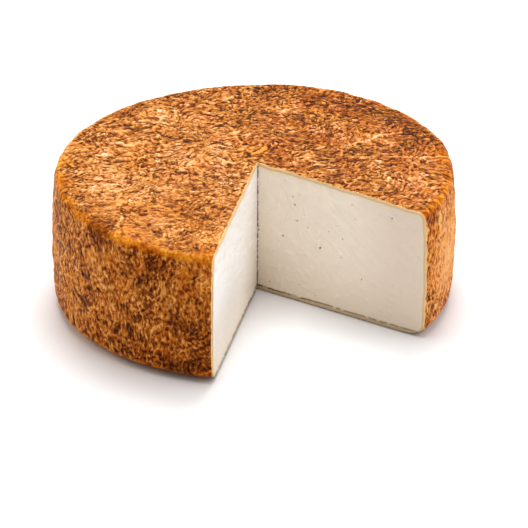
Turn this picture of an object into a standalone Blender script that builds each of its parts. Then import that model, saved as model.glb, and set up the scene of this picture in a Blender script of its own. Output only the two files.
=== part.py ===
"""A wheel of smoked goat tomme with one wedge cut out, standing on its underside.

Metres, +Z up. The origin is on the underside, below the middle of the wheel, and the
missing wedge opens towards +X -Y. Rind and paste are one solid with two materials.
"""

import math

import bmesh
import bpy
from mathutils import Vector, noise

# The wheel
RADIUS = 0.110
HEIGHT = 0.0792
DOME = 0.0006  # how much the middle of the top stands above its edge
TOP_EDGE_WIDTH = 0.007
TOP_EDGE_DROP = 0.007
TOP_EDGE_SQUARENESS = 2.8  # 2 is an ellipse, more is squarer
FOOT_WIDTH = 0.0176
FOOT_RISE = 0.0079
FOOT_SQUARENESS = 2.4
SIDE_BOW = 0.0011
SIDE_FLARE = 0.007  # share of the radius that the foot spreads beyond the top

# How far the wheel is from a true one, as left by its mould and its shelf
OVAL = 0.029  # share of the radius
OVAL_TOWARDS = math.radians(51.4)
THREE_LOBES = 0.0057
THREE_LOBES_TOWARDS = math.radians(66.9)
LEAN = 0.0327  # share of the height that the far side is taller by
LEAN_TOWARDS = math.radians(135)

# Relief of the rind: (depth, size) of its broad swellings and of its folds
SWELLING = (0.0005, 0.034)
FOLDS = (0.0005, 0.0095)
FOLD_OCTAVES = 2
RELIEF_STARTS = 0.0008  # height over the flat underside
RELIEF_FULL = 0.010

# The missing wedge
WEDGE_CORNER = Vector((0.0, 0.0035))
WEDGE_MIDDLE = math.radians(-45)
WEDGE_ANGLE = math.radians(70)
WEDGE_REACH = 0.20
CUTTER_MARGIN = 0.01  # above and below the wheel

# Fineness of the mesh
TURN_STEPS = 120
TOP_RINGS = 22
SIDE_RINGS = 13
CORNER_STEPS = 5
MERGE = 0.00001
SHARP_ANGLE = math.radians(40)

RIND_COLOR = (0.39, 0.15, 0.035, 1.0)
RIND_ROUGHNESS = 0.5
PASTE_COLOR = (0.84, 0.80, 0.72, 1.0)
PASTE_ROUGHNESS = 0.55


def clear_scene():
    for obj in list(bpy.data.objects):
        bpy.data.objects.remove(obj, do_unlink=True)


def new_collection(name):
    collection = bpy.data.collections.new(name)
    bpy.context.scene.collection.children.link(collection)
    return collection


def new_object(name, mesh, collection):
    obj = bpy.data.objects.new(name, mesh)
    collection.objects.link(obj)
    return obj


def plain_material(name, color, roughness):
    material = bpy.data.materials.new(name)
    material.use_nodes = True
    shader = material.node_tree.nodes["Principled BSDF"]
    shader.inputs["Base Color"].default_value = color
    shader.inputs["Roughness"].default_value = roughness
    shader.inputs["Metallic"].default_value = 0.0
    material.diffuse_color = color
    return material


def smooth_step(low, high, value):
    share = min(max((value - low) / (high - low), 0.0), 1.0)
    return share * share * (3 - 2 * share)


def rounded_corner(squareness):
    """Pairs of shares that go from (0, 1) to (1, 0) along a quarter of a superellipse."""
    power = 2 / squareness
    for step in range(CORNER_STEPS + 1):
        turn = math.pi / 2 * step / CORNER_STEPS
        yield abs(math.sin(turn)) ** power, abs(math.cos(turn)) ** power


def wheel_profile():
    """(radius, height) from the middle of the top, over the edge and down the side, to the middle below."""
    top_radius = RADIUS - TOP_EDGE_WIDTH
    points = []
    for ring in range(TOP_RINGS):
        share = ring / TOP_RINGS
        points.append((top_radius * share, HEIGHT + DOME * (1 - share**2)))
    for across, up in rounded_corner(TOP_EDGE_SQUARENESS):
        points.append((top_radius + TOP_EDGE_WIDTH * across, HEIGHT - TOP_EDGE_DROP * (1 - up)))
    side_top = HEIGHT - TOP_EDGE_DROP
    for ring in range(1, SIDE_RINGS):
        share = ring / SIDE_RINGS
        bow = SIDE_BOW * 4 * share * (1 - share)
        points.append((RADIUS + bow, side_top + (FOOT_RISE - side_top) * share))
    for down, across in rounded_corner(FOOT_SQUARENESS):
        points.append((RADIUS - FOOT_WIDTH * (1 - across), FOOT_RISE * (1 - down)))
    points.append((0.0, 0.0))
    return [(radius * (1 + SIDE_FLARE * (0.5 - height / HEIGHT)), height) for radius, height in points]


def turned_wheel(collection):
    """The true wheel: its profile, turned once round Z."""
    points = [(radius, 0.0, height) for radius, height in wheel_profile()]
    edges = [(i, i + 1) for i in range(len(points) - 1)]
    mesh = bpy.data.meshes.new("wheel_profile")
    mesh.from_pydata(points, edges, [])
    wheel = new_object("cheese_wheel", mesh, collection)
    screw = wheel.modifiers.new("turn", "SCREW")
    screw.axis = "Z"
    screw.steps = TURN_STEPS
    screw.render_steps = TURN_STEPS
    screw.use_merge_vertices = True
    screw.merge_threshold = MERGE
    return wheel


def apply_modifiers(obj):
    graph = bpy.context.evaluated_depsgraph_get()
    mesh = bpy.data.meshes.new_from_object(obj.evaluated_get(graph))
    obj.modifiers.clear()
    obj.data = mesh


def outline_swell(angle):
    """The radius in this direction as a share of the true one."""
    oval = OVAL * math.cos(2 * (angle - OVAL_TOWARDS))
    lobes = THREE_LOBES * math.cos(3 * (angle - THREE_LOBES_TOWARDS))
    return 1 + oval + lobes


def misshapen(point):
    """Where a point of the true wheel lies on the real one, which is lobed and taller on its far side."""
    swell = outline_swell(math.atan2(point.y, point.x))
    towards = math.cos(LEAN_TOWARDS) * point.x + math.sin(LEAN_TOWARDS) * point.y
    height = point.z * (1 + LEAN * towards / RADIUS)
    return Vector((point.x * swell, point.y * swell, height))


def relief(point):
    """How far the rind stands out here. It fades out towards the flat underside."""
    swelling_depth, swelling_size = SWELLING
    fold_depth, fold_size = FOLDS
    swelling = swelling_depth * noise.noise(point / swelling_size)
    folds = fold_depth * noise.fractal(point / fold_size, 1.0, 2.0, FOLD_OCTAVES)
    return (swelling + folds) * smooth_step(RELIEF_STARTS, RELIEF_FULL, point.z)


def weather(wheel):
    """Takes the turned wheel from true to lobed, leaning and wrinkled."""
    shape = bmesh.new()
    shape.from_mesh(wheel.data)
    for vert in shape.verts:
        vert.co = misshapen(vert.co)
    shape.normal_update()
    shifts = [vert.normal * relief(vert.co) for vert in shape.verts]
    for vert, shift in zip(shape.verts, shifts):
        vert.co += shift
    shape.to_mesh(wheel.data)
    shape.free()


def wedge_cutter(collection, paste):
    """An upright prism over the missing wedge, with its corner near the middle of the wheel."""
    outline = [WEDGE_CORNER]
    for side in (-1, 1):
        angle = WEDGE_MIDDLE + side * WEDGE_ANGLE / 2
        outline.append(WEDGE_CORNER + WEDGE_REACH * Vector((math.cos(angle), math.sin(angle))))
    shape = bmesh.new()
    floor = shape.faces.new([shape.verts.new((*point, -CUTTER_MARGIN)) for point in outline])
    lifted = bmesh.ops.extrude_face_region(shape, geom=[floor])["geom"]
    roof = [item for item in lifted if isinstance(item, bmesh.types.BMVert)]
    bmesh.ops.translate(shape, verts=roof, vec=(0, 0, HEIGHT * (1 + LEAN) + 2 * CUTTER_MARGIN))
    bmesh.ops.recalc_face_normals(shape, faces=shape.faces)
    mesh = bpy.data.meshes.new("wedge_cutter")
    shape.to_mesh(mesh)
    shape.free()
    mesh.materials.append(paste)
    cutter = new_object("wedge_cutter", mesh, collection)
    cutter.hide_render = True
    cutter.display_type = "WIRE"
    return cutter


def cut_out(wheel, cutter):
    """Takes the wedge out, so that the two cut faces get the paste's material."""
    cut = wheel.modifiers.new("missing_wedge", "BOOLEAN")
    cut.operation = "DIFFERENCE"
    cut.solver = "EXACT"
    cut.material_mode = "TRANSFER"
    cut.object = cutter
    bpy.context.view_layer.update()
    apply_modifiers(wheel)


def main():
    clear_scene()
    parts = new_collection("smoked_goat_tomme")
    cutters = new_collection("cutters")
    wheel = turned_wheel(parts)
    apply_modifiers(wheel)
    weather(wheel)
    wheel.data.materials.append(plain_material("rind", RIND_COLOR, RIND_ROUGHNESS))
    cutter = wedge_cutter(cutters, plain_material("paste", PASTE_COLOR, PASTE_ROUGHNESS))
    cut_out(wheel, cutter)
    wheel.data.shade_smooth()
    wheel.data.set_sharp_from_angle(angle=SHARP_ANGLE)


main()
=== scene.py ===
"""The looks of a smoked goat tomme: a wheel with one wedge cut out, on a plain pale floor.

Metres, +Z up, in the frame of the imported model. The rind is one fine skin that is shaped, cut and
wrinkled as a whole, and then taken apart into a top, two halves of the side and a base. The paste
is a body of its own inside it.
"""

import math

import bpy
import numpy as np
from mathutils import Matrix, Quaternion, Vector, noise


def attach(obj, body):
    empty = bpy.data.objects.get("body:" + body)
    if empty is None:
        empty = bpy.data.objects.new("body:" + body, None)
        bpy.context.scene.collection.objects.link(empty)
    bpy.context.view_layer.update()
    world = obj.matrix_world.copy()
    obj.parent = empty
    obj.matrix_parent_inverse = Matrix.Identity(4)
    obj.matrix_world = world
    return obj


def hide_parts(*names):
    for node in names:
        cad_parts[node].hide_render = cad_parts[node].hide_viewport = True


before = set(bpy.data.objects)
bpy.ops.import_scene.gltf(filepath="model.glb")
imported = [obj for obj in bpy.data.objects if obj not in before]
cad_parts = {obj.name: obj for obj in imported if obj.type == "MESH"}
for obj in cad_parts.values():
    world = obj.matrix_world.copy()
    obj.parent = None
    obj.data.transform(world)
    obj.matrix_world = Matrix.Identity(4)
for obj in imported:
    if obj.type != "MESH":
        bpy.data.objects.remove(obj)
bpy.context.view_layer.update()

# The wheel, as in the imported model
RADIUS = 0.110
HEIGHT = 0.0792
DOME = 0.0006
TOP_EDGE_WIDTH = 0.007
TOP_EDGE_DROP = 0.007
TOP_EDGE_SQUARENESS = 2.8
FOOT_WIDTH = 0.0176
FOOT_RISE = 0.0079
FOOT_SQUARENESS = 2.4
SIDE_BOW = 0.0011
SIDE_FLARE = 0.007
OVAL = 0.029
OVAL_TOWARDS = math.radians(51.4)
THREE_LOBES = 0.0057
THREE_LOBES_TOWARDS = math.radians(66.9)
LEAN = 0.0327
LEAN_TOWARDS = math.radians(135)
SWELLING = (0.0005, 0.034)
FOLDS = (0.0005, 0.0095)
FOLD_OCTAVES = 2
RELIEF_STARTS = 0.0008
RELIEF_FULL = 0.010
CORNER = np.array([0.0, 0.0035])
LEFT_CUT = math.radians(-80)
RIGHT_CUT = math.radians(-10)
WEDGE_MIDDLE = math.radians(-45)
KEPT_TURN = 2 * math.pi - (RIGHT_CUT - LEFT_CUT)

# Fineness of the skin, and how close to a knife cut its points are moved onto it
TOP_CELLS = 340
SKIRT_STRIPS = 4
STRIP_CUTS = 42
CUT_SNAP = 0.00015
CUT_REACH = 0.0015
MERGE = 0.0001

# The rind's pieces, its thickness, and its edge along the knife cuts
RIND_PIECES = ("rind_top", "rind_side_right", "rind_side_left", "rind_base")
RIND_THICKNESS = 0.0016
RIND_BEHIND = 0.001
LIP_SET_BACK = 0.0006
LIP_REACH = 0.0012

# The rind's fine relief. Pairs are for the side and for the top and base.
WRINKLE_DEPTH = 0.00034
BASE_WRINKLE_DEPTH = 0.00035
GRAIN_TURN = math.radians(22)
GRAIN_STRETCH = (0.9, 0.8, 0.68)
WAVE_CELL = 0.0056
WAVES_IN_A_CELL = (2.3, 1.9)
WAVE_STRAIGHTNESS = 0.7
TOP_WAVES_WAY = (-0.37, 0.93, 0)
TOP_TURN = 5.0
SIDE_LEAN = 6.0
HAIR_ON_SIDE = (1, 0.85, 0.42)
HAIR_ON_TOP = (0.42, 0.95, 0.6)

# How far each kind of relief stands out, or sinks where it is below zero
WAVE_CREST = (0.28, 0.45)
WAVE_GROOVE = (0.30, 0.80)
GRAIN = (0.80, 0.36)
HAIR = (1.30, 0.94)
STRAND = 0.55
CRACK = (-0.40, -0.68)
PIT = (-0.45, -0.65)
FOLD_CREST, FOLD_GROOVE = 0.5, 0.6

# Which way the rind grows darker across the wheel as painted shade, which way it grows redder, how much
# darker the side is, and broad patches: (middle, reach, paler or darker)
SHADED_TOWARDS = (1.35, 1.35, 0.0)
RUDDY_TOWARDS = (0.9, 0.5, 0.0)
SIDE_DARKER = 0.20
STAINS_AND_LIT_FLANK = (
    # The first is a painted pool of light on the right flank, where the lamp from the right falls.
    ((0.108, 0.020, 0.040), 0.062, 1.55),
    ((-0.030, -0.100, 0.077), 0.045, -0.28),
    ((0.000, -0.104, 0.077), 0.022, 0.4),
    ((0.022, -0.108, 0.018), 0.055, -0.35),
    ((0.008, 0.024, 0.080), 0.030, -0.3),
)

# Where handling has worn the rind smoother, and how far round
WORN_MIDDLE = (-0.012, -0.103, 0.056)
WORN_REACH = 0.085
WORN_TO = 0.74

# Long creases in the top: (from, to, how far it stands out or sinks)
CREASES = (
    ((0.037, 0.041, 0), (0.056, 0.068, 0), 0.9),
    ((0.066, 0.041, 0), (0.100, 0.058, 0), 1.1),
    ((-0.090, 0.016, 0), (-0.051, 0.011, 0), -0.9),
    ((-0.050, -0.025, 0), (-0.012, -0.020, 0), -0.6),
)
CREASE_WIDTH = 0.0014

# A flap of golden skin on the top, and the darker ring along the top's edge
FLAP_MIDDLE = (-0.0038, 0.0177, 0.0)
FLAP_ALONG = (0.223, 0.975, 0.0)
FLAP_ACROSS = (0.975, -0.223, 0.0)
FLAP_SIZE = (0.0070, 0.0019)
FLAP_CURL = 0.5
RING_FROM, RING_TO, RING_SMOKED = 0.72, 0.97, 0.24

# Colours of the rind, from dark to pale; the relief picks among them, partly as painted shade in the pits and
# painted highlight on the crests
RIND_COLOURS = (
    (0.06, (0.050, 0.011, 0.001)),
    (0.28, (0.205, 0.053, 0.004)),
    (0.46, (0.44, 0.148, 0.020)),
    (0.62, (0.62, 0.275, 0.080)),
    (0.78, (0.79, 0.42, 0.180)),
    (0.94, (0.90, 0.57, 0.34)),
)

# What multiplies them: on the side, on golden patches, on the rim (partly painted highlight, more on the near
# side), on ruddy patches and on dull ones
RIND_TINTS = (
    (0.97, 0.81, 0.46),
    (0.98, 0.82, 0.34),
    (1.0, 0.80, 0.08),
    (0.92, 0.76, 0.74),
    (0.87, 0.87, 1.0),
)

# Colours of the flap and of the skin's lip along the cuts
FLAP_COLOUR = (0.66, 0.235, 0.020, 1)
LIP_COLOUR = (0.98, 0.60, 0.25, 1)

# Colours of the rind where it is cut, from the skin inwards
SECTION_COLOURS = (
    (0.0, (0.82, 0.44, 0.13)),
    (0.20, (0.98, 0.62, 0.25)),
    (0.70, (0.96, 0.66, 0.32)),
    (0.92, (0.66, 0.49, 0.27)),
)
LOW_SECTION_COLOURS = (
    (0.34, (0.070, 0.034, 0.014)),
    (0.50, (0.50, 0.34, 0.18)),
    (0.90, (0.55, 0.40, 0.22)),
)

# The paste. It lies a little inside the skin at the cuts and further in elsewhere.
PASTE_INSET = 0.00065
PASTE_SUNK = 0.00012
PASTE_INSET_BEHIND = 0.0042
PASTE_STEP_BEHIND = math.radians(0.6)
PASTE_CELLS_OUT = 214
PASTE_CELLS_UP = 158
PASTE_TURN_STEPS = 29
CURD_DEPTH = 0.0004
KNIFE_DEPTH = 0.00035
CRUMB_HEIGHT = 0.00032
CORNER_BLEND = 0.0008
ON_CUT = 0.00005
PASTE_CORNER = CORNER + PASTE_SUNK / math.sin((RIGHT_CUT - LEFT_CUT) / 2) * np.array([-1, 1]) / math.sqrt(2)

# Pinholes: (cut, mm out from the corner, mm up, radius in mm), with 0 for the left cut and 1 for the right
PORES = (
    (1, 24.7, 60.3, 0.7), (1, 26.1, 50.7, 0.85), (1, 17.0, 38.7, 0.8), (1, 23.3, 64.9, 0.5),
    (1, 31.3, 55.8, 0.6), (1, 33.3, 48.3, 0.55), (1, 41.3, 37.9, 0.9), (1, 0.8, 38.5, 1.0),
    (1, 64.0, 62.0, 0.6), (0, 19.5, 35.0, 0.5),
)
PORE_SEED = 11
PORE_COUNT = 36
PORES_APART = 7
PORE_SQUAT = 1.35
PORE_DEPTH = 1.1

# The camera
CAMERA_AZIMUTH = math.radians(21.9)
CAMERA_ELEVATION = math.radians(27.67)
CAMERA_ROLL = math.radians(0.34)
CAMERA_AIM = Vector((0.0048, 0.0019, 0.0179))
CAMERA_DISTANCE = 2.202
CAMERA_LENS = 265.7


def only(obj):
    """Selects this object alone and makes it the active one."""
    bpy.ops.object.select_all(action="DESELECT")
    obj.select_set(True)
    bpy.context.view_layer.objects.active = obj


def added(name):
    """The object that an add operator has just made, under its own name."""
    obj = bpy.context.active_object
    obj.name = name
    obj.data.name = name
    return obj


def places(obj):
    """The places of an object's points, one row each."""
    flat = np.empty(len(obj.data.vertices) * 3)
    obj.data.vertices.foreach_get("co", flat)
    return flat.reshape(-1, 3)


def put(obj, points):
    obj.data.vertices.foreach_set("co", points.ravel())
    obj.data.update()


def face_middles(obj):
    flat = np.empty(len(obj.data.polygons) * 3)
    obj.data.polygons.foreach_get("center", flat)
    return flat.reshape(-1, 3)


def pick(obj, kind, mask):
    """Enters edit mode with those faces, edges or points selected that a mask names."""
    data = obj.data
    for items in (data.vertices, data.edges, data.polygons):
        items.foreach_set("select", np.zeros(len(items), bool))
    getattr(data, kind).foreach_set("select", mask)
    bpy.context.tool_settings.mesh_select_mode = (kind == "vertices", kind == "edges", kind == "polygons")
    bpy.ops.object.mode_set(mode="EDIT")


def leave_edit():
    bpy.ops.object.mode_set(mode="OBJECT")


def face_outwards():
    """Turns all faces of the active object outwards."""
    bpy.ops.object.mode_set(mode="EDIT")
    bpy.ops.mesh.select_all(action="SELECT")
    bpy.ops.mesh.normals_make_consistent(inside=False)
    leave_edit()


def edge_ends(obj):
    """The two points of each edge, one row each."""
    ends = np.empty(len(obj.data.edges) * 2, int)
    obj.data.edges.foreach_get("vertices", ends)
    return ends.reshape(-1, 2)


def face_corners(obj):
    """The points at the corners of all faces in turn, and where each face starts among them."""
    corners = np.empty(len(obj.data.loops), int)
    obj.data.loops.foreach_get("vertex_index", corners)
    starts = np.empty(len(obj.data.polygons), int)
    obj.data.polygons.foreach_get("loop_start", starts)
    return corners, starts


def smooth_step(low, high, value):
    share = np.clip((value - low) / (high - low), 0, 1)
    return share * share * (3 - 2 * share)


def quarter_round(squareness):
    """Shares (across, up) along a quarter of a superellipse, from (0, 1) to (1, 0)."""
    turn = np.linspace(0, math.pi / 2, 60)
    return np.sin(turn) ** (2 / squareness), np.cos(turn) ** (2 / squareness)


def side_profile():
    """Radius and height down the side of the true wheel, from the flat top to the flat underside."""
    side_top = HEIGHT - TOP_EDGE_DROP
    out, up = quarter_round(TOP_EDGE_SQUARENESS)
    down, across = quarter_round(FOOT_SQUARENESS)
    share = np.linspace(0, 1, 60)
    radius = np.concatenate([
        RADIUS - TOP_EDGE_WIDTH * (1 - out),
        RADIUS + SIDE_BOW * 4 * share * (1 - share),
        RADIUS - FOOT_WIDTH * (1 - across),
    ])
    height = np.concatenate([
        HEIGHT - TOP_EDGE_DROP * (1 - up),
        side_top + (FOOT_RISE - side_top) * share,
        FOOT_RISE * (1 - down),
    ])
    return radius * (1 + SIDE_FLARE * (0.5 - height / HEIGHT)), height


def swell(angle):
    """The wheel's radius in this direction as a share of the true one."""
    oval = OVAL * np.cos(2 * (angle - OVAL_TOWARDS))
    return 1 + oval + THREE_LOBES * np.cos(3 * (angle - THREE_LOBES_TOWARDS))


def misshapen(points):
    """Where points of the true wheel lie on the real one, which is lobed and taller on its far side."""
    real = points.copy()
    real[:, :2] *= swell(np.arctan2(points[:, 1], points[:, 0]))[:, None]
    towards = math.cos(LEAN_TOWARDS) * points[:, 0] + math.sin(LEAN_TOWARDS) * points[:, 1]
    real[:, 2] *= 1 + LEAN * towards / RADIUS
    return real


def relief(points):
    """How far the broad swellings and folds of the rind stand out."""
    depth, size = SWELLING
    fold_depth, fold_size = FOLDS
    heights = np.empty(len(points))
    for index, row in enumerate(points):
        point = Vector(row)
        folds = noise.fractal(point / fold_size, 1.0, 2.0, FOLD_OCTAVES)
        heights[index] = depth * noise.noise(point / size) + fold_depth * folds
    return heights * smooth_step(RELIEF_STARTS, RELIEF_FULL, points[:, 2])


def skin_blank():
    """The skin before it is shaped: a square grid, a skirt of strips down from it, and a second grid."""
    bpy.ops.mesh.primitive_grid_add(x_subdivisions=TOP_CELLS, y_subdivisions=TOP_CELLS, size=2)
    skin = added("rind")
    bpy.ops.object.mode_set(mode="EDIT")
    bpy.ops.mesh.select_all(action="SELECT")
    bpy.ops.mesh.duplicate_move(TRANSFORM_OT_translate={"value": (0, 0, -SKIRT_STRIPS)})
    bpy.ops.mesh.flip_normals()
    bpy.ops.mesh.select_all(action="INVERT")
    bpy.ops.mesh.region_to_loop()
    for strip in range(SKIRT_STRIPS):
        bpy.ops.mesh.extrude_region_move(TRANSFORM_OT_translate={"value": (0, 0, -1)})
    bpy.ops.mesh.select_all(action="SELECT")
    bpy.ops.mesh.remove_doubles(threshold=MERGE)
    leave_edit()
    heights = places(skin)[edge_ends(skin), 2]
    pick(skin, "edges", np.abs(heights[:, 0] - heights[:, 1]) > 0.5)
    bpy.ops.mesh.subdivide(number_cuts=STRIP_CUTS)
    leave_edit()
    face_outwards()
    return skin


def round_disc(square):
    """Takes the points of a square to a disc, so that its rows end at even turns round the rim."""
    x, y = square[:, 0], square[:, 1]
    across = np.abs(x) >= np.abs(y)
    reach = np.where(across, x, y)
    safe = np.where(reach == 0, 1, reach)
    turn = np.where(across, math.pi / 4 * y / safe, math.pi / 2 - math.pi / 4 * x / safe)
    return np.stack([reach * np.cos(turn), reach * np.sin(turn)], axis=1)


def shape_skin(skin):
    """Takes the blank to the real wheel, and marks its faces by the piece of rind that they belong to."""
    blank = places(skin)
    disc = round_disc(blank[:, :2])
    share = np.hypot(disc[:, 0], disc[:, 1])
    radius, height = side_profile()
    along = np.concatenate([[0], np.cumsum(np.hypot(np.diff(radius), np.diff(height)))])
    down = along[-1] * -blank[:, 2] / SKIRT_STRIPS
    above = blank[:, 2] > -MERGE
    wheel = np.empty_like(blank)
    wheel[:, :2] = disc * np.interp(down, along, radius)[:, None]
    wheel[:, 2] = np.interp(down, along, height)
    wheel[above, 2] += DOME * (1 - share[above] ** 2)
    put(skin, misshapen(wheel))
    corners, starts = face_corners(skin)
    heights = np.add.reduceat(blank[corners, 2], starts) / np.diff(np.append(starts, len(corners)))
    slots = np.where(heights > -MERGE, 0, np.where(heights < MERGE - SKIRT_STRIPS, 3, 1))
    middles = face_middles(skin)
    turned = (np.arctan2(middles[:, 1], middles[:, 0]) - WEDGE_MIDDLE) % (2 * math.pi)
    slots[(slots == 1) & (turned > math.pi)] = 2
    for name in RIND_PIECES:
        skin.data.materials.append(bpy.data.materials.new(name))
    skin.data.polygons.foreach_set("material_index", slots.astype(np.int32))


def cut_wedge_from(skin):
    """Cuts the skin along both knife cuts and takes the wedge's share away."""
    for turn in (LEFT_CUT, RIGHT_CUT):
        along = np.array([math.cos(turn), math.sin(turn)])
        across = np.array([-math.sin(turn), math.cos(turn)])
        points = places(skin)
        off = (points[:, :2] - CORNER) @ across
        near = (np.abs(off) < CUT_SNAP) & ((points[:, :2] - CORNER) @ along > -CUT_REACH)
        points[near, :2] -= off[near, None] * across
        put(skin, points)
        middles = face_middles(skin)[:, :2] - CORNER
        pick(skin, "polygons", (np.abs(middles @ across) < CUT_REACH) & (middles @ along > -CUT_REACH))
        bpy.ops.mesh.bisect(plane_co=(*CORNER, 0), plane_no=(*across, 0), threshold=0.00001)
        leave_edit()
    middles = face_middles(skin)[:, :2] - CORNER
    turned = np.arctan2(middles[:, 1], middles[:, 0])
    pick(skin, "polygons", (turned > LEFT_CUT) & (turned < RIGHT_CUT))
    bpy.ops.mesh.delete(type="FACE")
    leave_edit()


def swell_skin(skin):
    """Raises the broad swellings and folds along the skin's own normals."""
    normals = np.empty(len(skin.data.vertices) * 3)
    skin.data.vertex_normals.foreach_get("vector", normals)
    points = places(skin)
    put(skin, points + normals.reshape(-1, 3) * relief(points)[:, None])


class Nodes:
    """Adds nodes to a tree and links them, so that a pattern reads as one expression after another."""

    def __init__(self, tree):
        self.tree = tree

    def add(self, kind, settings=None, **sockets):
        node = self.tree.nodes.new(kind)
        for name, value in (settings or {}).items():
            setattr(node, name, value)
        for name, value in sockets.items():
            self.feed(node.inputs[name.replace("_", " ")], value)
        return node

    def feed(self, socket, value):
        if isinstance(value, bpy.types.NodeSocket):
            self.tree.links.new(value, socket)
        else:
            socket.default_value = value

    def math(self, operation, *values, clamp=False):
        node = self.tree.nodes.new("ShaderNodeMath")
        node.operation = operation
        node.use_clamp = clamp
        for socket, value in zip(node.inputs, values):
            self.feed(socket, value)
        return node.outputs[0]

    def times(self, *values):
        """The product of two or more values."""
        product = values[0]
        for value in values[1:]:
            product = self.math("MULTIPLY", product, value)
        return product

    def plus(self, total, value, weight):
        """A total with so much of another value added."""
        return self.math("MULTIPLY_ADD", value, weight, total)

    def between(self, share, start, end):
        """The number that lies this share of the way from one number to another."""
        return self.math("MULTIPLY_ADD", share, end - start, start)

    def vector(self, operation, *values, scale=None, output="Vector"):
        node = self.tree.nodes.new("ShaderNodeVectorMath")
        node.operation = operation
        for socket, value in zip(node.inputs, values):
            self.feed(socket, value)
        if scale is not None:
            self.feed(node.inputs["Scale"], scale)
        return node.outputs[output]

    def measure(self, operation, *values):
        """A dot product, a length or a distance."""
        return self.vector(operation, *values, output="Value")

    def up(self, vector):
        """The upright part of a place or a direction."""
        return self.add("ShaderNodeSeparateXYZ", Vector=vector).outputs["Z"]

    def stored(self, name, output="Fac"):
        """What the mesh of a material keeps under this name."""
        return self.add("ShaderNodeAttribute", {"attribute_name": name}).outputs[output]

    def noise(self, place, size, detail=1.0, roughness=0.5, shift=None, colour=False):
        """Smooth noise round 0.5 in lumps of this size. Each shift gives another noise of the same kind."""
        if shift is not None:
            place = self.vector("ADD", place, shift)
        node = self.add("ShaderNodeTexNoise", Vector=place, Scale=1 / size, Detail=detail,
                        Roughness=roughness)
        return node.outputs["Color" if colour else "Fac"]

    def uneven(self, total, place, size, detail, far):
        """A total that noise carries off to either side, by up to half this far."""
        return self.plus(total, self.math("SUBTRACT", self.noise(place, size, detail), 0.5), far)

    def gabor(self, place, size, waves, straight, way):
        """Wormy waves, so many to each cell of this size, that mostly run this way."""
        node = self.add("ShaderNodeTexGabor", {"gabor_type": "3D"}, Vector=place, Scale=1 / size)
        self.feed(node.inputs["Frequency"], waves)
        node.inputs["Anisotropy"].default_value = straight
        self.feed(node.inputs[-1], way)
        return node.outputs["Value"]

    def ramp(self, value, low, high, to_low=0.0, to_high=1.0, smooth=True):
        kind = "SMOOTHSTEP" if smooth else "LINEAR"
        node = self.add("ShaderNodeMapRange", {"interpolation_type": kind})
        for socket, item in zip(node.inputs, (value, low, high, to_low, to_high)):
            self.feed(socket, item)
        return node.outputs[0]

    def line(self, value, middle, width):
        """1 along the curves where the value is at its middle, falling to 0 at this distance from it."""
        off = self.math("ABSOLUTE", self.math("SUBTRACT", value, middle))
        return self.ramp(off, 0.0, width, 1.0, 0.0)

    def colour_mix(self, factor, first, second, blend="MIX"):
        node = self.tree.nodes.new("ShaderNodeMix")
        node.data_type = "RGBA"
        node.blend_type = blend
        self.feed(node.inputs[0], factor)
        self.feed(node.inputs[6], first)
        self.feed(node.inputs[7], second)
        return node.outputs[2]


def drift(nodes, place, size, far, detail=0.0):
    """A place carried off by up to this far, differently for each patch of this size."""
    stray = nodes.vector("SUBTRACT", nodes.noise(place, size, detail, colour=True), (0.5, 0.5, 0.5))
    return nodes.vector("ADD", place, nodes.vector("SCALE", stray, scale=far))


def facing_up(nodes, outward):
    """How level the skin is here: 0 on the side, 1 on the top and the base."""
    return nodes.math("ABSOLUTE", nodes.up(outward))


def on_top(nodes, outward):
    """1 on the top and 0 on the side and the base."""
    return nodes.ramp(nodes.up(outward), 0.5, 0.7)


def share_out(nodes, place):
    """How far a place is from the wheel's axis, as a share of the radius."""
    return nodes.measure("LENGTH", nodes.vector("MULTIPLY", place, (1 / RADIUS, 1 / RADIUS, 0)))


def on_rim(nodes, place, outward):
    """1 on the rounded edges between the side and the top or base, in an uneven band."""
    level = nodes.uneven(facing_up(nodes, outward), place, 0.011, 2.0, 0.8)
    inner_end = nodes.times(nodes.ramp(level, 1.05, 0.86), nodes.ramp(share_out(nodes, place), 0.86, 0.94))
    return nodes.times(nodes.ramp(level, 0.02, 0.40), inner_end)


def flap(nodes, place, outward):
    """1 on the flap of golden skin, and 1 in the dark crease along its ragged edge."""
    level = nodes.vector("SUBTRACT", place, FLAP_MIDDLE)
    along = nodes.math("DIVIDE", nodes.measure("DOT_PRODUCT", level, FLAP_ALONG), FLAP_SIZE[0])
    across = nodes.math("DIVIDE", nodes.measure("DOT_PRODUCT", level, FLAP_ACROSS), FLAP_SIZE[1])
    across = nodes.plus(across, nodes.times(along, along), FLAP_CURL)
    off = nodes.math("SQRT", nodes.plus(nodes.times(across, across), along, along))
    ragged = nodes.uneven(off, place, 0.003, 1.0, 1.4)
    top = on_top(nodes, outward)
    return nodes.times(top, nodes.ramp(ragged, 1.15, 0.85)), nodes.times(top, nodes.line(ragged, 1.45, 0.4))


def creases(nodes, place, outward):
    """The long creases of the top: above 0 where they stand out, and below it where they sink."""
    level = nodes.vector("MULTIPLY", drift(nodes, place, 0.018, 0.008, 1.0), (1, 1, 0))
    total = 0.0
    for start, end, strength in CREASES:
        way = np.subtract(end, start)
        ahead = nodes.measure("DOT_PRODUCT", nodes.vector("SUBTRACT", level, start), way / (way @ way))
        ahead = nodes.math("ADD", ahead, 0.0, clamp=True)
        nearest = nodes.vector("ADD", nodes.vector("SCALE", way, scale=ahead), start)
        gap = nodes.measure("DISTANCE", level, nearest)
        total = nodes.math("ADD", total, nodes.ramp(gap, CREASE_WIDTH, CREASE_WIDTH / 4, 0.0, strength))
    broken = nodes.ramp(nodes.noise(place, 0.005), 0.34, 0.54, 0.4, 1.0)
    return nodes.times(total, on_top(nodes, outward), broken)


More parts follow.
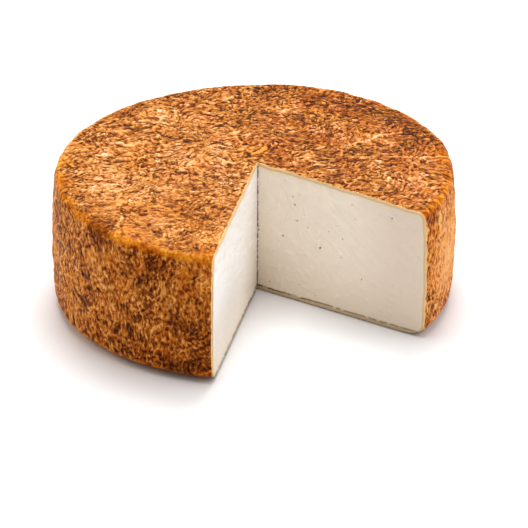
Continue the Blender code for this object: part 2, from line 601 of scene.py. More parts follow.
def wave_way(nodes, place, outward):
    """The way across the waves, which hang down the side and lie nearer to X than to Y on the top."""
    lean = nodes.math("SUBTRACT", nodes.noise(place, 0.022, 0.5), 0.5)
    apart = nodes.add("ShaderNodeSeparateXYZ", Vector=outward).outputs
    on_side = nodes.add("ShaderNodeCombineXYZ", X=nodes.times(apart["Y"], -1.0), Y=apart["X"],
                        Z=nodes.times(lean, SIDE_LEAN)).outputs[0]
    turned = nodes.add("ShaderNodeVectorRotate", {"rotation_type": "Z_AXIS"}, Vector=TOP_WAVES_WAY,
                       Angle=nodes.times(lean, TOP_TURN)).outputs[0]
    return nodes.vector("ADD", on_side, nodes.vector("SCALE", turned, scale=apart["Z"]))


def wormy_waves(nodes, place, strayed, outward):
    """Wormy waves with crests above 0 and grooves below it, which are deeper on the top."""
    level = facing_up(nodes, outward)
    often = nodes.between(level, *WAVES_IN_A_CELL)
    waves = nodes.gabor(strayed, WAVE_CELL, often, WAVE_STRAIGHTNESS, wave_way(nodes, place, outward))
    crests = nodes.ramp(waves, 0.54, 0.76, 0.0, nodes.between(level, *WAVE_CREST))
    grooves = nodes.ramp(waves, 0.45, 0.30, 0.0, nodes.between(level, *WAVE_GROOVE))
    return nodes.math("SUBTRACT", crests, grooves)


def hair_lines(nodes, turned, level):
    """Thin raised lines, which hang down the side and lie across the top."""
    strayed = drift(nodes, turned, 0.009, 0.005)
    hanging = nodes.noise(nodes.vector("MULTIPLY", strayed, HAIR_ON_SIDE), 0.0044, shift=(0.5, 0.2, 0.9))
    hanging = nodes.line(hanging, 0.5, 0.05)
    lying = nodes.noise(nodes.vector("MULTIPLY", strayed, HAIR_ON_TOP), 0.0046, shift=(0.2, 0.6, 0.1))
    lying = nodes.line(lying, 0.5, 0.05)
    return nodes.plus(hanging, nodes.math("SUBTRACT", lying, hanging), level)


def folds(nodes, place):
    """A few longer folds, each a crest with a groove beside it."""
    bent = nodes.vector("MULTIPLY", drift(nodes, place, 0.012, 0.004), (1, 1, 0.6))
    fold = nodes.noise(bent, 0.026, 0.6, shift=(0.9, 0.4, 0.3))
    here = nodes.ramp(nodes.noise(place, 0.018, 0.5), 0.52, 0.6)
    crest = nodes.times(nodes.line(fold, 0.514, 0.015), FOLD_CREST)
    return nodes.times(nodes.plus(crest, nodes.line(fold, 0.488, 0.014), -FOLD_GROOVE), here)


def wrinkle_height(nodes, place, outward):
    """The height of the rind's fine relief, from -1.2 in the pits to 1.2 on the pale crests."""
    level = facing_up(nodes, outward)
    strayed = drift(nodes, drift(nodes, place, 0.026, 0.010), 0.006, 0.0028, 1.0)
    turned = nodes.add("ShaderNodeVectorRotate", {"rotation_type": "Z_AXIS"}, Vector=strayed,
                       Angle=-GRAIN_TURN).outputs[0]
    fibres = nodes.vector("MULTIPLY", turned, GRAIN_STRETCH)
    grain = nodes.ramp(nodes.noise(fibres, 0.0018, 1.2), 0.3, 0.7, -1.0, 1.0, smooth=False)
    strand = nodes.line(nodes.noise(fibres, 0.0034, 0.5, shift=(0.1, 0.9, 0.4)), 0.47, 0.05)
    crack = nodes.line(nodes.noise(fibres, 0.0042, shift=(0.3, 0.1, 0.7)), 0.5, 0.065)
    pit = nodes.ramp(nodes.noise(fibres, 0.0030, 0.3, shift=(0.8, 0.6, 0.2)), 0.58, 0.65)
    rough = nodes.ramp(nodes.noise(place, 0.013, 2.0), 0.38, 0.62, 0.45, 1.05)
    total = nodes.times(wormy_waves(nodes, place, strayed, outward), rough)
    total = nodes.plus(total, grain, nodes.between(level, *GRAIN))
    hair = nodes.times(hair_lines(nodes, turned, level), rough)
    total = nodes.plus(total, hair, nodes.between(level, *HAIR))
    total = nodes.plus(total, nodes.times(strand, rough), STRAND)
    total = nodes.plus(total, crack, nodes.between(level, *CRACK))
    total = nodes.plus(total, pit, nodes.between(level, *PIT))
    total = nodes.math("ADD", total, folds(nodes, place))
    worn = nodes.ramp(nodes.measure("DISTANCE", place, WORN_MIDDLE), WORN_REACH, WORN_REACH / 3, 1.0, WORN_TO)
    total = nodes.times(total, nodes.plus(worn, on_rim(nodes, place, outward), -0.35))
    total = nodes.math("ADD", total, creases(nodes, place, outward))
    flapped, fold_line = flap(nodes, place, outward)
    total = nodes.plus(total, fold_line, -0.7)
    total = nodes.times(total, nodes.between(flapped, 1.0, 0.5))
    total = nodes.plus(total, flapped, 0.7)
    return nodes.math("MINIMUM", nodes.math("MAXIMUM", total, -1.2), 1.2)


def geometry_tree(name):
    """An empty tree for a modifier, with the geometry, the places and the normals that it is given."""
    tree = bpy.data.node_groups.new(name, "GeometryNodeTree")
    for way in ("INPUT", "OUTPUT"):
        tree.interface.new_socket("Geometry", in_out=way, socket_type="NodeSocketGeometry")
    nodes = Nodes(tree)
    geometry = nodes.add("NodeGroupInput").outputs[0]
    place = nodes.add("GeometryNodeInputPosition").outputs[0]
    return nodes, geometry, place, nodes.add("GeometryNodeInputNormal").outputs[0]


def store(nodes, geometry, name, value):
    node = nodes.add("GeometryNodeStoreNamedAttribute", {"data_type": "FLOAT_VECTOR", "domain": "POINT"})
    nodes.feed(node.inputs["Geometry"], geometry)
    nodes.feed(node.inputs["Name"], name)
    nodes.feed(node.inputs["Value"], value)
    return node.outputs[0]


def move_out(nodes, geometry, normal, shift):
    """Ends a modifier's tree by moving each point along its normal."""
    moved = nodes.add("GeometryNodeSetPosition", Geometry=geometry,
                      Offset=nodes.vector("SCALE", normal, scale=shift))
    nodes.tree.links.new(moved.outputs[0], nodes.add("NodeGroupOutput").inputs[0])


def wrinkle_tree():
    """Moves the points of the skin along their normals, and keeps where they were for the colours."""
    nodes, geometry, place, normal = geometry_tree("wrinkles")
    height = wrinkle_height(nodes, place, normal)
    full = nodes.ramp(nodes.up(place), RELIEF_STARTS, RELIEF_FULL)
    worn_rim = nodes.between(on_rim(nodes, place, normal), 1.0, 0.6)
    standing = nodes.times(height, WRINKLE_DEPTH, worn_rim)
    sunk = nodes.times(nodes.math("SUBTRACT", height, 1.0), BASE_WRINKLE_DEPTH / 2)
    sunk = nodes.times(nodes.math("SUBTRACT", 1.0, full), nodes.math("MINIMUM", sunk, 0.0))
    geometry = store(nodes, geometry, "rest_place", place)
    geometry = store(nodes, geometry, "outward", normal)
    move_out(nodes, geometry, normal, nodes.plus(sunk, full, standing))
    return nodes.tree


def apply_tree(obj, tree):
    """Gives an object this tree as a modifier, and applies it."""
    only(obj)
    modifier = obj.modifiers.new(tree.name, "NODES")
    modifier.node_group = tree
    bpy.ops.object.modifier_apply(modifier=modifier.name)


def attribute_rows(obj, name):
    flat = np.empty(len(obj.data.vertices) * 3)
    obj.data.attributes[name].data.foreach_get("vector", flat)
    return flat.reshape(-1, 3)


def cut_ways(cut):
    """The level ways out along a knife cut and into the cheese behind it."""
    turn, side = ((LEFT_CUT, -1), (RIGHT_CUT, 1))[cut]
    return np.array([math.cos(turn), math.sin(turn)]), side * np.array([-math.sin(turn), math.cos(turn)])


def set_back(points, gap):
    """Moves points near the two knife cuts on behind them, and keeps the points in their order."""
    for cut in (0, 1):
        along, inwards = cut_ways(cut)
        level = points[:, :2] - CORNER
        off = level @ inwards
        near = (np.abs(off) < 2 * gap) & (level @ along > -gap)
        points[near, :2] += (gap - off[near] / 2)[:, None] * inwards


def extrude_rim(piece):
    """Extrudes the selected rim in place and returns a mask of its new points, which stay selected."""
    bpy.ops.object.mode_set(mode="EDIT")
    bpy.ops.mesh.extrude_region_move()
    leave_edit()
    new = np.empty(len(piece.data.vertices), bool)
    piece.data.vertices.foreach_get("select", new)
    return new


def thicken(piece, inwards):
    """Turns the rim of an open piece of skin in by the rind's thickness, and then on behind the paste."""
    only(piece)
    piece.data.attributes.new("depth", "FLOAT", "POINT")
    bpy.ops.object.mode_set(mode="EDIT")
    bpy.ops.mesh.select_all(action="SELECT")
    bpy.ops.mesh.region_to_loop()
    leave_edit()
    new = extrude_rim(piece)
    points = places(piece)
    inner = attribute_rows(piece, "rest_place") - RIND_THICKNESS * attribute_rows(piece, "outward")
    points[new] = inner[new]
    put(piece, points)
    piece.data.attributes["depth"].data.foreach_set("value", new.astype(float))
    new = extrude_rim(piece)
    points = places(piece)
    moved = points[new]
    moved += inwards(moved)
    set_back(moved, RIND_BEHIND)
    points[new] = moved
    put(piece, points)
    return new


def towards_axis(points):
    away = points[:, :2] / np.hypot(points[:, 0], points[:, 1])[:, None]
    return np.column_stack([-RIND_BEHIND * away, np.zeros(len(points))])


def into_top(points):
    return np.broadcast_to((0, 0, -0.003), points.shape)


def into_base(points):
    return np.broadcast_to((0, 0, 0.003), points.shape)


def finish_shell(piece):
    """Turns all faces outwards, the skin smooth and the walls behind it flat."""
    only(piece)
    face_outwards()
    corners, starts = face_corners(piece)
    depth = np.empty(len(piece.data.vertices))
    piece.data.attributes["depth"].data.foreach_get("value", depth)
    skin = np.maximum.reduceat(depth[corners], starts) < 0.5
    piece.data.polygons.foreach_set("use_smooth", skin)
    piece.data.update()


def close_flat(piece, inwards):
    """Closes a piece of the top or the base with a flat floor."""
    thicken(piece, inwards)
    bpy.ops.object.mode_set(mode="EDIT")
    bpy.ops.mesh.fill(use_beauty=False)
    leave_edit()
    finish_shell(piece)


def close_side(piece):
    """Closes a piece of the side with a tall inner wall between its top and bottom arcs, and two end caps."""
    new = thicken(piece, towards_axis)
    ends = edge_ends(piece)
    up = attribute_rows(piece, "rest_place")[ends, 2]
    level = places(piece)[ends, :2]
    run = np.linalg.norm(level[:, 0] - level[:, 1], axis=1)
    at_top = up.min(axis=1) > HEIGHT * 0.9
    at_foot = up.max(axis=1) < 0.0001
    lying = run > np.abs(up[:, 0] - up[:, 1])
    pick(piece, "edges", new[ends].all(axis=1) & (at_top | at_foot) & lying)
    bpy.ops.mesh.bridge_edge_loops()
    bpy.ops.mesh.select_all(action="SELECT")
    bpy.ops.mesh.fill_holes(sides=0)
    leave_edit()
    finish_shell(piece)


def round_lips(skin):
    """Sets the skin's edge back a little along the knife cuts, so that the cut rind slopes up to it."""
    points = places(skin)
    for cut in (0, 1):
        along, inwards = cut_ways(cut)
        level = points[:, :2] - CORNER
        off = level @ inwards
        near = (off > -0.0001) & (off < LIP_REACH) & (level @ along > 0)
        points[near, :2] += (LIP_SET_BACK * (1 - off[near] / LIP_REACH))[:, None] * inwards
    put(skin, points)


def make_rind():
    """The skin, shaped, cut, wrinkled and taken apart into four closed pieces."""
    skin = skin_blank()
    shape_skin(skin)
    cut_wedge_from(skin)
    swell_skin(skin)
    apply_tree(skin, wrinkle_tree())
    round_lips(skin)
    bpy.ops.object.mode_set(mode="EDIT")
    bpy.ops.mesh.select_all(action="SELECT")
    bpy.ops.mesh.separate(type="MATERIAL")
    leave_edit()
    pieces = {}
    for obj in list(bpy.context.selected_objects):
        name = obj.data.materials[obj.data.polygons[0].material_index].name
        obj.name = name
        obj.data.name = name
        pieces[name] = obj
    close_flat(pieces["rind_top"], into_top)
    close_flat(pieces["rind_base"], into_base)
    close_side(pieces["rind_side_right"])
    close_side(pieces["rind_side_left"])
    for piece in pieces.values():
        piece.data.materials.clear()
    return [pieces[name] for name in RIND_PIECES]


def cut_reach(turn, radius):
    """How far it is this way from the paste's corner to the outline of a wheel of that true radius."""
    reach = np.array(radius, float)
    for _ in range(12):
        x = PASTE_CORNER[0] + reach * np.cos(turn)
        y = PASTE_CORNER[1] + reach * np.sin(turn)
        reach += radius * swell(np.arctan2(y, x)) - np.hypot(x, y)
    return reach


def paste_blank():
    """A sector of a wheel of radius and height 1: a fine upright grid, spun from one cut to the other."""
    bpy.ops.mesh.primitive_grid_add(x_subdivisions=PASTE_CELLS_OUT, y_subdivisions=PASTE_CELLS_UP, size=1,
                                    location=(0.5, 0, 0.5), rotation=(math.radians(90), 0, 0))
    paste = added("paste")
    bpy.ops.object.transform_apply(location=True, rotation=True, scale=True)
    bpy.ops.object.mode_set(mode="EDIT")
    bpy.ops.mesh.select_all(action="SELECT")
    bpy.ops.mesh.spin(steps=PASTE_TURN_STEPS, angle=KEPT_TURN, center=(0, 0, 0), axis=(0, 0, -1))
    bpy.ops.mesh.select_all(action="SELECT")
    bpy.ops.mesh.remove_doubles(threshold=MERGE)
    leave_edit()
    return paste


def shape_paste(paste):
    """Takes the sector to the inside of the real wheel, and notes how deep under the rind each point lies."""
    blank = places(paste)
    out = np.hypot(blank[:, 0], blank[:, 1])
    turned = (np.arctan2(blank[:, 1], blank[:, 0]) + 0.1) % (2 * math.pi) - 0.1
    turned = np.where(out < 1e-4, 0, turned)
    on_cut = (turned < 0.001) | (turned > KEPT_TURN - 0.001)
    step = KEPT_TURN / PASTE_TURN_STEPS
    turned = np.where(np.abs(turned - step) < 0.001, PASTE_STEP_BEHIND, turned)
    turned = np.where(np.abs(turned - KEPT_TURN + step) < 0.001, KEPT_TURN - PASTE_STEP_BEHIND, turned)
    up = blank[:, 2]
    radius, height = side_profile()
    run = np.hypot(np.gradient(radius), np.gradient(height))
    lie_out, lie_up = -np.gradient(height) / run, np.gradient(radius) / run
    inner_radius, inner_height = radius - PASTE_INSET * lie_out, height - PASTE_INSET * lie_up
    turn = RIGHT_CUT + turned
    inset = np.where(on_cut, PASTE_INSET, PASTE_INSET_BEHIND)
    true_height = inset + up * (HEIGHT - 2 * inset)
    outline = np.interp(true_height, inner_height[::-1], inner_radius[::-1]) - (inset - PASTE_INSET)
    reach = out * cut_reach(turn, outline)
    real = np.stack([PASTE_CORNER[0] + reach * np.cos(turn), PASTE_CORNER[1] + reach * np.sin(turn)], axis=1)
    true = real / swell(np.arctan2(real[:, 1], real[:, 0]))[:, None]
    share = np.clip(np.hypot(true[:, 0], true[:, 1]) / radius[0], 0, 1)
    true_height += up * DOME * (1 - share**2)
    towards = math.cos(LEAN_TOWARDS) * true[:, 0] + math.sin(LEAN_TOWARDS) * true[:, 1]
    points = np.column_stack([real, true_height * (1 + LEAN * towards / RADIUS)])
    lift = relief(points)
    points[:, 2] += lift * smooth_step(0.88, 1, up)
    outwards = np.column_stack([np.cos(turn), np.sin(turn)])
    points[:, :2] += outwards * (lift * smooth_step(0.93, 1, out))[:, None]
    put(paste, points)
    skin_radius = np.interp(true_height, height[::-1], radius[::-1])
    under = np.minimum(np.minimum(HEIGHT + DOME * (1 - share**2) - true_height, true_height),
                       skin_radius - np.hypot(true[:, 0], true[:, 1]))
    paste.data.attributes.new("under_rind", "FLOAT", "POINT").data.foreach_set("value", under * 1000)
    paste.data.attributes.new("on_cut", "FLOAT", "POINT").data.foreach_set("value", on_cut.astype(float))


def strewn_pores():
    """The pinholes that show and more like them: (cut, mm out from the corner, mm up, radius in mm)."""
    pores = list(PORES)
    chance = np.random.RandomState(PORE_SEED)
    while len(pores) < PORE_COUNT:
        cut = int(chance.rand() < 0.5)
        out = 6 + 90 * chance.rand() ** 1.4
        up = chance.uniform(6, 72)
        radius = chance.uniform(0.3, 0.65)
        if all(c != cut or math.hypot(o - out, u - up) > PORES_APART for c, o, u, r in pores):
            pores.append((cut, out, up, radius))
    return pores


def press_pores(paste):
    """Makes the cut faces finer round each pinhole, and presses it in."""
    pores = strewn_pores()
    middles = face_middles(paste)
    near = np.zeros(len(middles), bool)
    for cut, out, up, radius in pores:
        along, inwards = cut_ways(cut)
        level = middles[:, :2] - PASTE_CORNER
        gap = np.hypot(level @ along - out / 1000, middles[:, 2] - up / 1000)
        near |= (np.abs(level @ inwards) < ON_CUT) & (gap < radius / 1000 + 0.0006)
    pick(paste, "polygons", near)
    bpy.ops.mesh.subdivide(number_cuts=2)
    leave_edit()
    points = places(paste)
    hollow = np.zeros(len(points))
    for cut, out, up, radius in pores:
        along, inwards = cut_ways(cut)
        level = points[:, :2] - PASTE_CORNER
        gap = np.hypot(level @ along - out / 1000, (points[:, 2] - up / 1000) * PORE_SQUAT) * 1000
        pressed = 1 - smooth_step(radius * 0.5, radius * 1.15, gap)
        pressed = np.where(np.abs(level @ inwards) < ON_CUT, pressed, 0)
        points[:, :2] += (pressed * radius * PORE_DEPTH / 1000)[:, None] * inwards
        hollow = np.maximum(hollow, pressed)
    put(paste, points)
    paste.data.attributes.new("hollow", "FLOAT", "POINT").data.foreach_set("value", hollow)


def out_from_corner(nodes, place):
    """The level way from the corner of the paste to a place."""
    return nodes.vector("MULTIPLY", nodes.vector("SUBTRACT", place, (*PASTE_CORNER, 0)), (1, 1, 0))


def knife_marks(nodes, place):
    """Faint smears round 0.5. On the right face they rise to the corner, on the left they nearly lie."""
    level = out_from_corner(nodes, place)
    out = nodes.measure("LENGTH", level)
    up = nodes.up(place)
    to_right = nodes.measure("DOT_PRODUCT", level, (1, 1, 0))
    slope = nodes.ramp(to_right, -CORNER_BLEND, CORNER_BLEND, -0.25, 0.8)
    across = nodes.plus(up, out, slope)
    along = nodes.math("SUBTRACT", out, nodes.times(up, slope))
    smear = nodes.add("ShaderNodeCombineXYZ", X=across, Y=nodes.times(along, 0.13)).outputs[0]
    smears = nodes.noise(drift(nodes, smear, 0.009, 0.006, 1.0), 0.0030, 2.0, 0.6)
    here = nodes.ramp(nodes.noise(place, 0.011), 0.42, 0.6)
    return nodes.plus(0.5, nodes.math("SUBTRACT", smears, 0.5), here)


def paste_tree():
    """Gives the cut faces their low curd, crumbs and knife marks."""
    nodes, geometry, place, normal = geometry_tree("curd")
    on_cut = nodes.add("GeometryNodeInputNamedAttribute", Name="on_cut").outputs[0]
    under = nodes.add("GeometryNodeInputNamedAttribute", Name="under_rind").outputs[0]
    curd = nodes.times(nodes.noise(place, 0.0065, 2.0, 0.6), CURD_DEPTH)
    curd = nodes.plus(curd, knife_marks(nodes, place), KNIFE_DEPTH)
    curd = nodes.math("SUBTRACT", curd, (CURD_DEPTH + KNIFE_DEPTH) / 2)
    crumb = nodes.ramp(nodes.noise(place, 0.0034, 0.5), 0.59, 0.66, 0.0, CRUMB_HEIGHT)
    inside = nodes.times(on_cut, nodes.ramp(under, 0.7, 2.0))
    move_out(nodes, geometry, normal, nodes.times(inside, nodes.math("ADD", curd, crumb)))
    return nodes.tree


def make_paste():
    """The body inside the rind: two fine cut faces that meet at the corner, and a plain back."""
    paste = paste_blank()
    shape_paste(paste)
    only(paste)
    face_outwards()
    press_pores(paste)
    apply_tree(paste, paste_tree())
    bpy.ops.object.shade_smooth_by_angle(angle=math.radians(50))
    return paste


def new_material(name, roughness, specular):
    material = bpy.data.materials.new(name)
    material.use_nodes = True
    shader = material.node_tree.nodes["Principled BSDF"]
    shader.inputs["Roughness"].default_value = roughness
    shader.inputs["Specular IOR Level"].default_value = specular
    return material, Nodes(material.node_tree), shader


def finish(nodes, shader, colour, height, strength, distance):
    """Gives a material its colour and the finest part of its relief."""
    bump = nodes.add("ShaderNodeBump", Height=height, Strength=strength, Distance=distance)
    nodes.feed(shader.inputs["Base Color"], colour)
    nodes.feed(shader.inputs["Normal"], bump.outputs[0])


def colour_ramp(nodes, value, stops):
    node = nodes.tree.nodes.new("ShaderNodeValToRGB")
    nodes.feed(node.inputs[0], value)
    elements = node.color_ramp.elements
    while len(elements) > 1:
        elements.remove(elements[-1])
    for index, (position, colour) in enumerate(stops):
        element = elements[0] if index == 0 else elements.new(position)
        element.position = position
        element.color = (*colour, 1)
    return node.outputs[0]


def far_side(nodes, place):
    """0 over the near half of the wheel, as the camera sees it, and 1 at the back."""
    return nodes.ramp(nodes.measure("DOT_PRODUCT", place, TOP_WAVES_WAY), 0.0, 0.06)


def rind_paleness(nodes, place, outward, crest, grain):
    """How pale the rind is: paler on its crests and darker in its pits, partly its own colour and partly
    painted highlight and painted shade; paler on its rounded edge, partly painted highlight; darker towards
    the back right as painted shade; with a painted highlight along the far top edge, a painted pool of light
    on the right flank, a darker side, a darker ring along the top's edge and broad patches.
    """
    flat = facing_up(nodes, outward)
    # Paler on the crests and darker in the pits: partly the rind's own colour, partly painted highlight and
    # painted shade.
    level = nodes.plus(crest, nodes.math("SUBTRACT", grain, 0.5), nodes.between(flat, 2.1, 0.85))
    patches = nodes.math("SUBTRACT", nodes.noise(place, 0.024, 1.2), 0.615)
    level = nodes.plus(level, patches, 1.05)
    # Paler on the rounded edge: partly the rind's own colour, partly painted highlight.
    level = nodes.plus(level, on_rim(nodes, place, outward), 0.25)
    # Painted shade: darker towards the back right and paler towards the front left.
    level = nodes.math("SUBTRACT", level, nodes.measure("DOT_PRODUCT", place, SHADED_TOWARDS))
    # Painted highlight along the top edge on the far side of the wheel.
    top_edge = nodes.times(nodes.ramp(flat, 0.985, 0.95), nodes.ramp(flat, 0.65, 0.85))
    level = nodes.plus(level, nodes.times(top_edge, far_side(nodes, place)), 0.6)
    blotches = nodes.math("SUBTRACT", nodes.noise(place, 0.019, 1.5, shift=(0.2, 0.8, 0.1)), 0.54)
    to_worn = nodes.measure("DISTANCE", place, WORN_MIDDLE)
    level = nodes.plus(level, blotches, nodes.ramp(to_worn, WORN_REACH, WORN_REACH / 3, 0.0, 2.2))
    ring = nodes.times(nodes.ramp(share_out(nodes, place), RING_FROM, RING_TO), flat)
    level = nodes.plus(level, ring, -RING_SMOKED)
    # Darker on the side than on the top.
    level = nodes.math("SUBTRACT", level, nodes.ramp(flat, 0.7, 0.1, 0.0, SIDE_DARKER))
    # Broad patches, and a painted pool of light on the right flank.
    for middle, reach, strength in STAINS_AND_LIT_FLANK:
        away = nodes.measure("DISTANCE", place, middle)
        level = nodes.math("ADD", level, nodes.ramp(away, reach, 0.0, 0.0, strength))
    return level


def tinted_rind(nodes, place, outward, level):
    """The rind's colour by its paleness, in tints that change from part to part."""
    colour = colour_ramp(nodes, nodes.ramp(level, -1.4, 1.4, smooth=False), RIND_COLOURS)
    side = nodes.ramp(facing_up(nodes, outward), 0.8, 0.3)
    golden = nodes.ramp(nodes.noise(place, 0.024, 2.0, shift=(0.4, 0.2, 0.6)), 0.5, 0.66, 0.0, 0.5)
    # Golden on the rounded edge, more on the side nearer the camera: partly the rind's own colour, partly
    # painted highlight.
    rim = nodes.times(on_rim(nodes, place, outward), nodes.between(far_side(nodes, place), 0.9, 0.4))
    ruddy = nodes.noise(place, 0.020, 2.0, shift=(0.1, 0.7, 0.2))
    ruddy = nodes.math("ADD", ruddy, nodes.measure("DOT_PRODUCT", place, RUDDY_TOWARDS))
    ruddy = nodes.ramp(ruddy, 0.48, 0.64, 0.0, 0.8)
    dull = nodes.ramp(nodes.noise(place, 0.018, 2.0, shift=(0.7, 0.3, 0.5)), 0.52, 0.64, 0.0, 0.6)
    for share, tint in zip((side, golden, rim, ruddy, dull), RIND_TINTS):
        colour = nodes.colour_mix(share, colour, (*tint, 1), "MULTIPLY")
    return nodes.colour_mix(nodes.times(flap(nodes, place, outward)[0], 0.75), colour, FLAP_COLOUR)


def cut_gap(nodes, place):
    """How far a place on the skin is from the nearer of the two knife cuts."""
    gaps = []
    for cut in (0, 1):
        along, inwards = cut_ways(cut)
        level = nodes.vector("SUBTRACT", place, (*CORNER, 0))
        off = nodes.math("ABSOLUTE", nodes.measure("DOT_PRODUCT", level, (*inwards, 0)))
        behind = nodes.math("MAXIMUM", nodes.measure("DOT_PRODUCT", level, (*-along, 0)), 0.0)
        gaps.append(nodes.math("ADD", off, behind))
    return nodes.math("MINIMUM", *gaps)


def cut_lip(nodes, place):
    """How much the skin shows its pale broken lip along the knife cuts."""
    gap = nodes.plus(cut_gap(nodes, place), nodes.noise(place, 0.0026), 0.0012)
    broken = nodes.ramp(nodes.noise(place, 0.0045, shift=(0.6, 0.1, 0.3)), 0.38, 0.56, 0.25, 1.0)
    return nodes.times(nodes.ramp(gap, 0.0016, 0.0011, 0.0, 0.9), broken)


def rind_section(nodes, place, depth):
    """The rind's thickness where it is cut: golden, and brown with a dark skin near the underside."""
    section = colour_ramp(nodes, depth, SECTION_COLOURS)
    low_section = colour_ramp(nodes, nodes.uneven(depth, place, 0.0022, 1.0, 0.5), LOW_SECTION_COLOURS)
    return nodes.colour_mix(nodes.ramp(nodes.up(place), 0.002, 0.009), low_section, section)


def rind_material():
    """Smoked rind: dark brown in the pits, orange brown between, cream on the crests, faintly waxy; the dark
    pits and cream crests are partly painted shade and painted highlight.
    """
    material, nodes, shader = new_material("smoked_rind", 0.4, 0.05)
    place = nodes.stored("rest_place", "Vector")
    outward = nodes.stored("outward", "Vector")
    depth = nodes.stored("depth")
    crest = wrinkle_height(nodes, place, outward)
    grain = nodes.noise(nodes.vector("MULTIPLY", place, (1, 1, 0.7)), 0.0015)
    level = rind_paleness(nodes, place, outward, crest, grain)
    colour = tinted_rind(nodes, place, outward, level)
    colour = nodes.colour_mix(cut_lip(nodes, place), colour, LIP_COLOUR)
    colour = nodes.colour_mix(nodes.ramp(depth, 0.001, 0.02), colour, rind_section(nodes, place, depth))
    finish(nodes, shader, colour, nodes.plus(grain, crest, 0.6), 0.8, 0.00045)
    return material


def bare_paste(nodes, place, away, on_right):
    """The two cut faces: white on the left, and warmer and darker on the right as painted warm shade; mottled
    and smeared; with a painted shadow low on the left face, and darker, warmer paste low down, partly its own
    tone and partly painted shade.
    """
    up = nodes.up(place)
    left = nodes.colour_mix(nodes.ramp(away, 0.02, 0.07), (0.96, 0.92, 0.87, 1), (0.94, 0.92, 0.90, 1))
    # Painted shadow low down on the far part of the left face.
    low_left_shadow = nodes.times(nodes.ramp(away, 0.03, 0.08), nodes.ramp(up, 0.060, 0.02))
    left = nodes.colour_mix(low_left_shadow, left, (0.72, 0.70, 0.68, 1), "MULTIPLY")
    # Painted warm shade: the right face warmer and darker than the left, most out towards the rim.
    right = nodes.colour_mix(nodes.ramp(away, 0.05, 0.10), (0.96, 0.86, 0.73, 1), (0.77, 0.64, 0.53, 1))
    colour = nodes.colour_mix(on_right, left, right)
    mottle = nodes.ramp(nodes.noise(place, 0.007, 3.0, 0.6), 0.35, 0.65)
    colour = nodes.colour_mix(nodes.times(mottle, 0.2), colour, (0.80, 0.74, 0.65, 1))
    smears = nodes.ramp(knife_marks(nodes, place), 0.40, 0.62, 0.0, nodes.between(on_right, 0.35, 0.20))
    colour = nodes.colour_mix(smears, colour, (0.70, 0.62, 0.51, 1))
    # Darker and warmer towards the bottom: partly the paste's own tone near the base, partly painted shade.
    return nodes.colour_mix(nodes.ramp(up, 0.045, 0.0, 0.0, 0.6), colour, (0.74, 0.61, 0.46, 1))


def darken_by_rind(nodes, place, colour):
    """Ochre paste next to the rind, a painted shadow line just under it, and painted shade in the pinholes.
    """
    under = nodes.stored("under_rind")
    edge = nodes.uneven(under, place, 0.008, 1.0, 4.0)
    colour = nodes.colour_mix(nodes.ramp(edge, 5.0, 0.5, 0.0, 0.5), colour, (0.84, 0.64, 0.37, 1))
    # Painted shadow line just under the rind's lip.
    colour = nodes.colour_mix(nodes.ramp(under, 2.1, 1.5, 0.0, 0.5), colour, (0.50, 0.38, 0.20, 1))
    # Painted shade inside the pinholes.
    return nodes.colour_mix(nodes.times(nodes.stored("hollow"), 0.9), colour, (0.32, 0.19, 0.09, 1))


def darken_foot(nodes, place, away, on_right, colour):
    """The foot of the cut faces: a brown sole on the left, and a crust under a dark seam on the right."""
    up = nodes.up(place)
    sole = nodes.ramp(nodes.uneven(up, place, 0.004, 2.0, 0.003), 0.0043, 0.0034, 0.0, 0.85)
    sole = nodes.times(sole, nodes.math("SUBTRACT", 1.0, on_right))
    sole = nodes.times(sole, nodes.ramp(nodes.noise(place, 0.006), 0.35, 0.6, 0.6, 1.0))
    colour = nodes.colour_mix(sole, colour, (0.22, 0.15, 0.095, 1))
    crust = nodes.times(nodes.ramp(up, 0.0030, 0.0022, 0.0, 0.8), on_right)
    colour = nodes.colour_mix(crust, colour, (0.52, 0.38, 0.21, 1))
    seam = nodes.line(nodes.uneven(up, place, 0.009, 2.0, 0.0012), 0.0030, 0.0010)
    broken = nodes.ramp(nodes.noise(place, 0.005), 0.32, 0.5, 0.3, 1.0)
    seam = nodes.times(seam, on_right, broken, nodes.ramp(away, 0.02, 0.06, 1.0, 0.7))
    return nodes.colour_mix(seam, colour, (0.085, 0.050, 0.025, 1))


def darken_corner(nodes, place, away, colour):
    """Dark brown crumbs and painted shade in a ragged line down the corner where the cut faces meet."""
    ragged = nodes.plus(-0.0006, nodes.noise(place, 0.0022, 2.0), 0.0022)
    # Partly crumbs, partly painted shade in the corner crease.
    crumbs = nodes.ramp(nodes.math("SUBTRACT", away, ragged), 0.0003, -0.0002)
    return nodes.colour_mix(nodes.times(crumbs, 0.8), colour, (0.20, 0.125, 0.065, 1))


def paste_material():
    """White goat's milk paste: faintly moist, darker under the rind and at its foot, with painted shade in
    its pinholes, down its corner and on its right face, and painted shadow under the rind's lip and low on
    the left face.
    """
    material, nodes, shader = new_material("white_paste", 0.5, 0.3)
    place = nodes.add("ShaderNodeTexCoord").outputs["Object"]
    away = nodes.measure("LENGTH", out_from_corner(nodes, place))
    past_corner = nodes.math("SUBTRACT", nodes.measure("DOT_PRODUCT", place, (1, 1, 0)), CORNER[1])
    on_right = nodes.ramp(past_corner, -CORNER_BLEND, CORNER_BLEND)
    colour = bare_paste(nodes, place, away, on_right)
    colour = darken_by_rind(nodes, place, colour)
    colour = darken_foot(nodes, place, away, on_right, colour)
    colour = darken_corner(nodes, place, away, colour)
    finish(nodes, shader, colour, nodes.noise(place, 0.0015, 3.0, 0.6), 0.5, 0.0003)
    return material


def make_floor():
    bpy.ops.mesh.primitive_plane_add(size=8)
    floor = added("floor")
    material, nodes, shader = new_material("pale_floor", 0.7, 0.2)
    nodes.feed(shader.inputs["Base Color"], (0.81, 0.81, 0.82, 1))
    floor.data.materials.append(material)


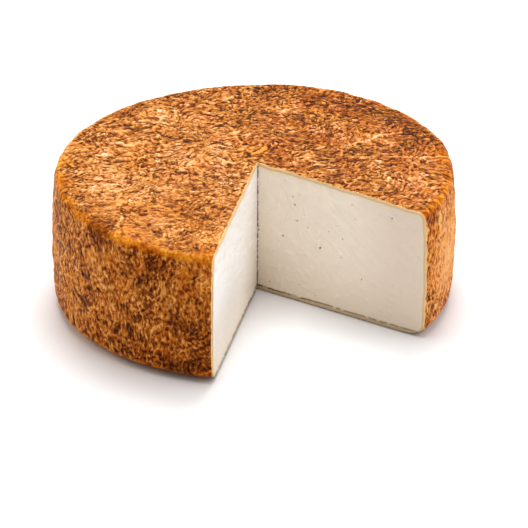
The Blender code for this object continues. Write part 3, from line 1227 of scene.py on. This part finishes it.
def softbox(name, azimuth, elevation, distance, size, power, colour):
    """A square lamp that looks at the wheel: azimuth 0 is behind it and 90 to the camera's right."""
    turn = CAMERA_AZIMUTH - math.radians(azimuth)
    rise = math.radians(elevation)
    way = Vector((-math.sin(turn) * math.cos(rise), math.cos(turn) * math.cos(rise), math.sin(rise)))
    bpy.ops.object.light_add(type="AREA", location=way * distance)
    lamp = added(name)
    lamp.data.size = size
    lamp.data.energy = power
    lamp.data.color = colour
    lamp.rotation_mode = "QUATERNION"
    lamp.rotation_quaternion = way.to_track_quat("Z", "Y")


def make_light():
    softbox("light_from_behind", 0, 60, 1.6, 1.0, 23, (1, 1, 1))
    softbox("light_from_right", 104, 36, 1.6, 1.6, 12.6, (0.98, 0.99, 1))
    softbox("light_from_left", -78, 30, 1.6, 0.9, 7, (1, 0.92, 0.83))
    softbox("light_from_above", 0, 88, 1.5, 1.0, 11, (1, 1, 1))
    softbox("light_from_front", 190, 16, 1.8, 1.4, 0.9, (1, 0.86, 0.68))
    world = bpy.data.worlds.new("soft_room")
    world.use_nodes = True
    background = world.node_tree.nodes["Background"]
    background.inputs["Color"].default_value = (1, 0.96, 0.93, 1)
    background.inputs["Strength"].default_value = 0.37
    bpy.context.scene.world = world


def make_camera():
    """The camera of the photograph, fitted to the wheel's outline and its cut."""
    flat, rise = math.cos(CAMERA_ELEVATION), math.sin(CAMERA_ELEVATION)
    back = Vector((math.sin(CAMERA_AZIMUTH) * flat, -math.cos(CAMERA_AZIMUTH) * flat, rise))
    bpy.ops.object.camera_add(location=CAMERA_AIM + back * CAMERA_DISTANCE)
    view = added("camera")
    view.rotation_mode = "QUATERNION"
    view.rotation_quaternion = (-back).to_track_quat("-Z", "Y") @ Quaternion((0, 0, 1), CAMERA_ROLL)
    view.data.sensor_width = 36
    view.data.lens = CAMERA_LENS
    view.data.clip_start = 0.1
    view.data.clip_end = 20
    bpy.context.scene.camera = view


def main():
    smoked_rind = rind_material()
    for piece in make_rind():
        piece.data.materials.append(smoked_rind)
        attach(piece, "root")
        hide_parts("cheese_wheel")
    paste = make_paste()
    paste.data.materials.append(paste_material())
    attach(paste, "root")
    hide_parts("cheese_wheel")
    make_floor()
    make_light()
    make_camera()
    bpy.context.scene.view_settings.view_transform = "Standard"


main()
